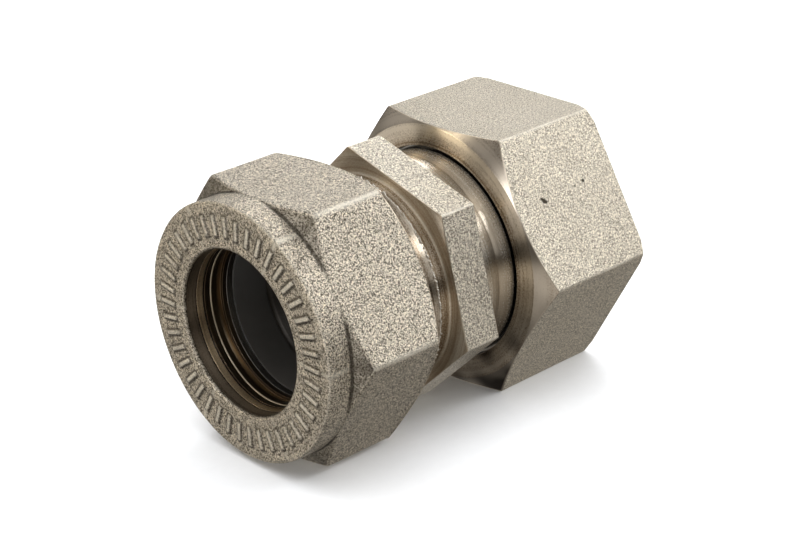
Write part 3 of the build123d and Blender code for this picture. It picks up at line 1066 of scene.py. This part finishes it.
def steel_material(marks):
    """Plain steel of the washer and the wire."""
    material, tree, shader = blank_material("steel", (0.50, 0.49, 0.47), 1.0, 0.30)
    lathe = placed_group(tree, marks, Marks_per_metre=6000.0, Drift=0.6)
    roughened(tree, shader, lathe.outputs["Bands"], 0.24, 0.40)
    bumped(tree, shader, lathe.outputs["Height"], 0.01, 0.5)
    return material


def rubber_material(grain):
    """Matt black rubber."""
    material, tree, shader = blank_material("rubber", (0.07, 0.065, 0.06), 0.0, 0.55)
    skin = placed_group(tree, grain, Grain_per_metre=5200.0)
    color = blended(tree, skin.outputs["Blotches"], (0.055, 0.052, 0.048), (0.085, 0.080, 0.074))
    feed(color, shader.inputs["Base Color"])
    bumped(tree, shader, skin.outputs["Height"], 0.02, 0.15)
    return material


def floor_material():
    """White matt floor that glows white far from the object, where no lamp reaches it."""
    material, tree, shader = blank_material("white floor", (0.90, 0.92, 0.95), 0.0, 0.9)
    place = object_place(tree)
    mottle = noise_node(tree, place, 900.0, 3.0)
    color = blended(tree, mottle, (0.88, 0.90, 0.93), (0.92, 0.94, 0.97))
    feed(color, shader.inputs["Base Color"])
    shader.inputs["Specular IOR Level"].default_value = 0.0
    far = ranged(tree, vector_node(tree, "LENGTH", place), 0.35, 1.0)
    glow = blended(tree, far, (0.0, 0.0, 0.0), (1.0, 1.0, 1.0))
    feed(glow, shader.inputs["Emission Color"])
    shader.inputs["Emission Strength"].default_value = 1.0
    return material


def make_floor():
    """Wide flat floor at the height of the lowest flat."""
    reach = 3000.0 * MM
    height = (union_low[2] - 0.01) * MM
    corners = [(x * reach, y * reach, height) for x, y in ((-1, -1), (1, -1), (1, 1), (-1, 1))]
    mesh = bpy.data.meshes.new("floor")
    mesh.from_pydata(corners, [], [(0, 1, 2, 3)])
    mesh.materials.append(floor_material())
    floor = scene_object("floor", mesh)
    floor.visible_glossy = False


def make_camera():
    """Camera at the photograph's place and angle."""
    data = bpy.data.cameras.new("camera")
    data.lens = camera_lens
    data.sensor_width = 36.0
    data.sensor_fit = "HORIZONTAL"
    data.clip_start = 0.005
    data.clip_end = 20.0
    camera = scene_object("camera", data)
    back = camera_right.cross(camera_up)
    turn = Matrix((camera_right, camera_up, back)).transposed().to_4x4()
    camera.matrix_world = Matrix.Translation(camera_place * MM) @ turn
    bpy.context.scene.camera = camera


def soft_light(name, place, width, power, in_metal=True, color=white):
    """Square area light at a place in millimetres, facing the aim, seen in the metal or not."""
    data = bpy.data.lights.new(name, "AREA")
    data.size = width * MM
    data.energy = power
    data.color = color
    lamp = scene_object(name, data)
    lamp.location = Vector(place) * MM
    direction = (Vector(lamp_aim) - Vector(place)).normalized()
    lamp.rotation_euler = direction.to_track_quat("-Z", "Y").to_euler()
    lamp.visible_glossy = in_metal


def make_lights():
    """Studio light: a surround with a bright sky behind, a dark gap in it, a dim side in front, a
    dark horizon and a floor glow; a wide floor lamp that metal doesn't show; and glint lamps."""
    bpy.context.scene.view_settings.view_transform = "Standard"
    world = bpy.data.worlds.new("surround")
    world.use_nodes = True
    bpy.context.scene.world = world
    tree = world.node_tree
    direction = tree.nodes.new("ShaderNodeTexCoord").outputs["Generated"]
    brightness = vector_node(tree, "DOT_PRODUCT", direction, bright_side)
    open_sky = blended(tree, ranged(tree, brightness, -0.25, 1.0), dim_surround, bright_surround)
    toward_gap = vector_node(tree, "DOT_PRODUCT", direction, sky_gap)
    sky = blended(tree, ranged(tree, toward_gap, 0.95, 0.985), open_sky, gap_color)
    parts = tree.nodes.new("ShaderNodeSeparateXYZ")
    feed(direction, parts.inputs[0])
    below = tree.nodes.new("ShaderNodeValToRGB")
    stops = below.color_ramp.elements
    for number, (height, glow) in enumerate(floor_glow):
        stop = stops[number] if number < 2 else stops.new(height)
        stop.position = height
        stop.color = (glow, 0.95 * glow, 0.88 * glow, 1.0)
    feed(math_node(tree, "ADD", parts.outputs["Z"], 1.0), below.inputs["Fac"])
    above = ranged(tree, parts.outputs["Z"], 0.06, 0.14)
    both = blended(tree, above, below.outputs["Color"], sky)
    feed(both, tree.nodes["Background"].inputs["Color"])
    soft_light("floor lamp", floor_lamp_place, floor_lamp_width, floor_lamp_watts, in_metal=False)
    for name, toward_lamp, width, power, lamp_color in glint_lamps:
        place = Vector(lamp_aim) + Vector(toward_lamp).normalized() * glint_lamp_distance
        soft_light(name, place, width, power, color=lamp_color)


grain = forged_grain_group()
marks = turned_marks_group()
forged_skin = {name: forged_material(name, grain, *look) for name, look in forged_looks.items()}
turned_skin = {name: turned_material(name, marks, *look) for name, look in turned_looks.items()}
turned_nickel = turned_skin["turned nickel"]
bare_brass = bare_brass_material(marks)
steel = steel_material(marks)
rubber = rubber_material(grain)

make_camera()
make_compression_nut(
    forged_skin["nut forging"], turned_nickel, turned_skin["bore brass with painted shade"], turned_skin["lip brass"]
)
make_nose_marks(forged_skin["nut forging"])
make_clamp_ring(bare_brass)
make_inner_rings(steel, rubber)
make_body(
    turned_nickel,
    forged_skin["hexagon forging"],
    turned_skin["socket brass in painted shade"],
    turned_skin["front nickel with painted light"],
    turned_skin["collar nickel"],
)
make_burr(turned_skin["burr nickel"])
make_wire_ring(steel)
make_union_nut(forged_skin["union forging"], turned_nickel, turned_skin["chamfer nickel"])
make_floor()
make_lights()
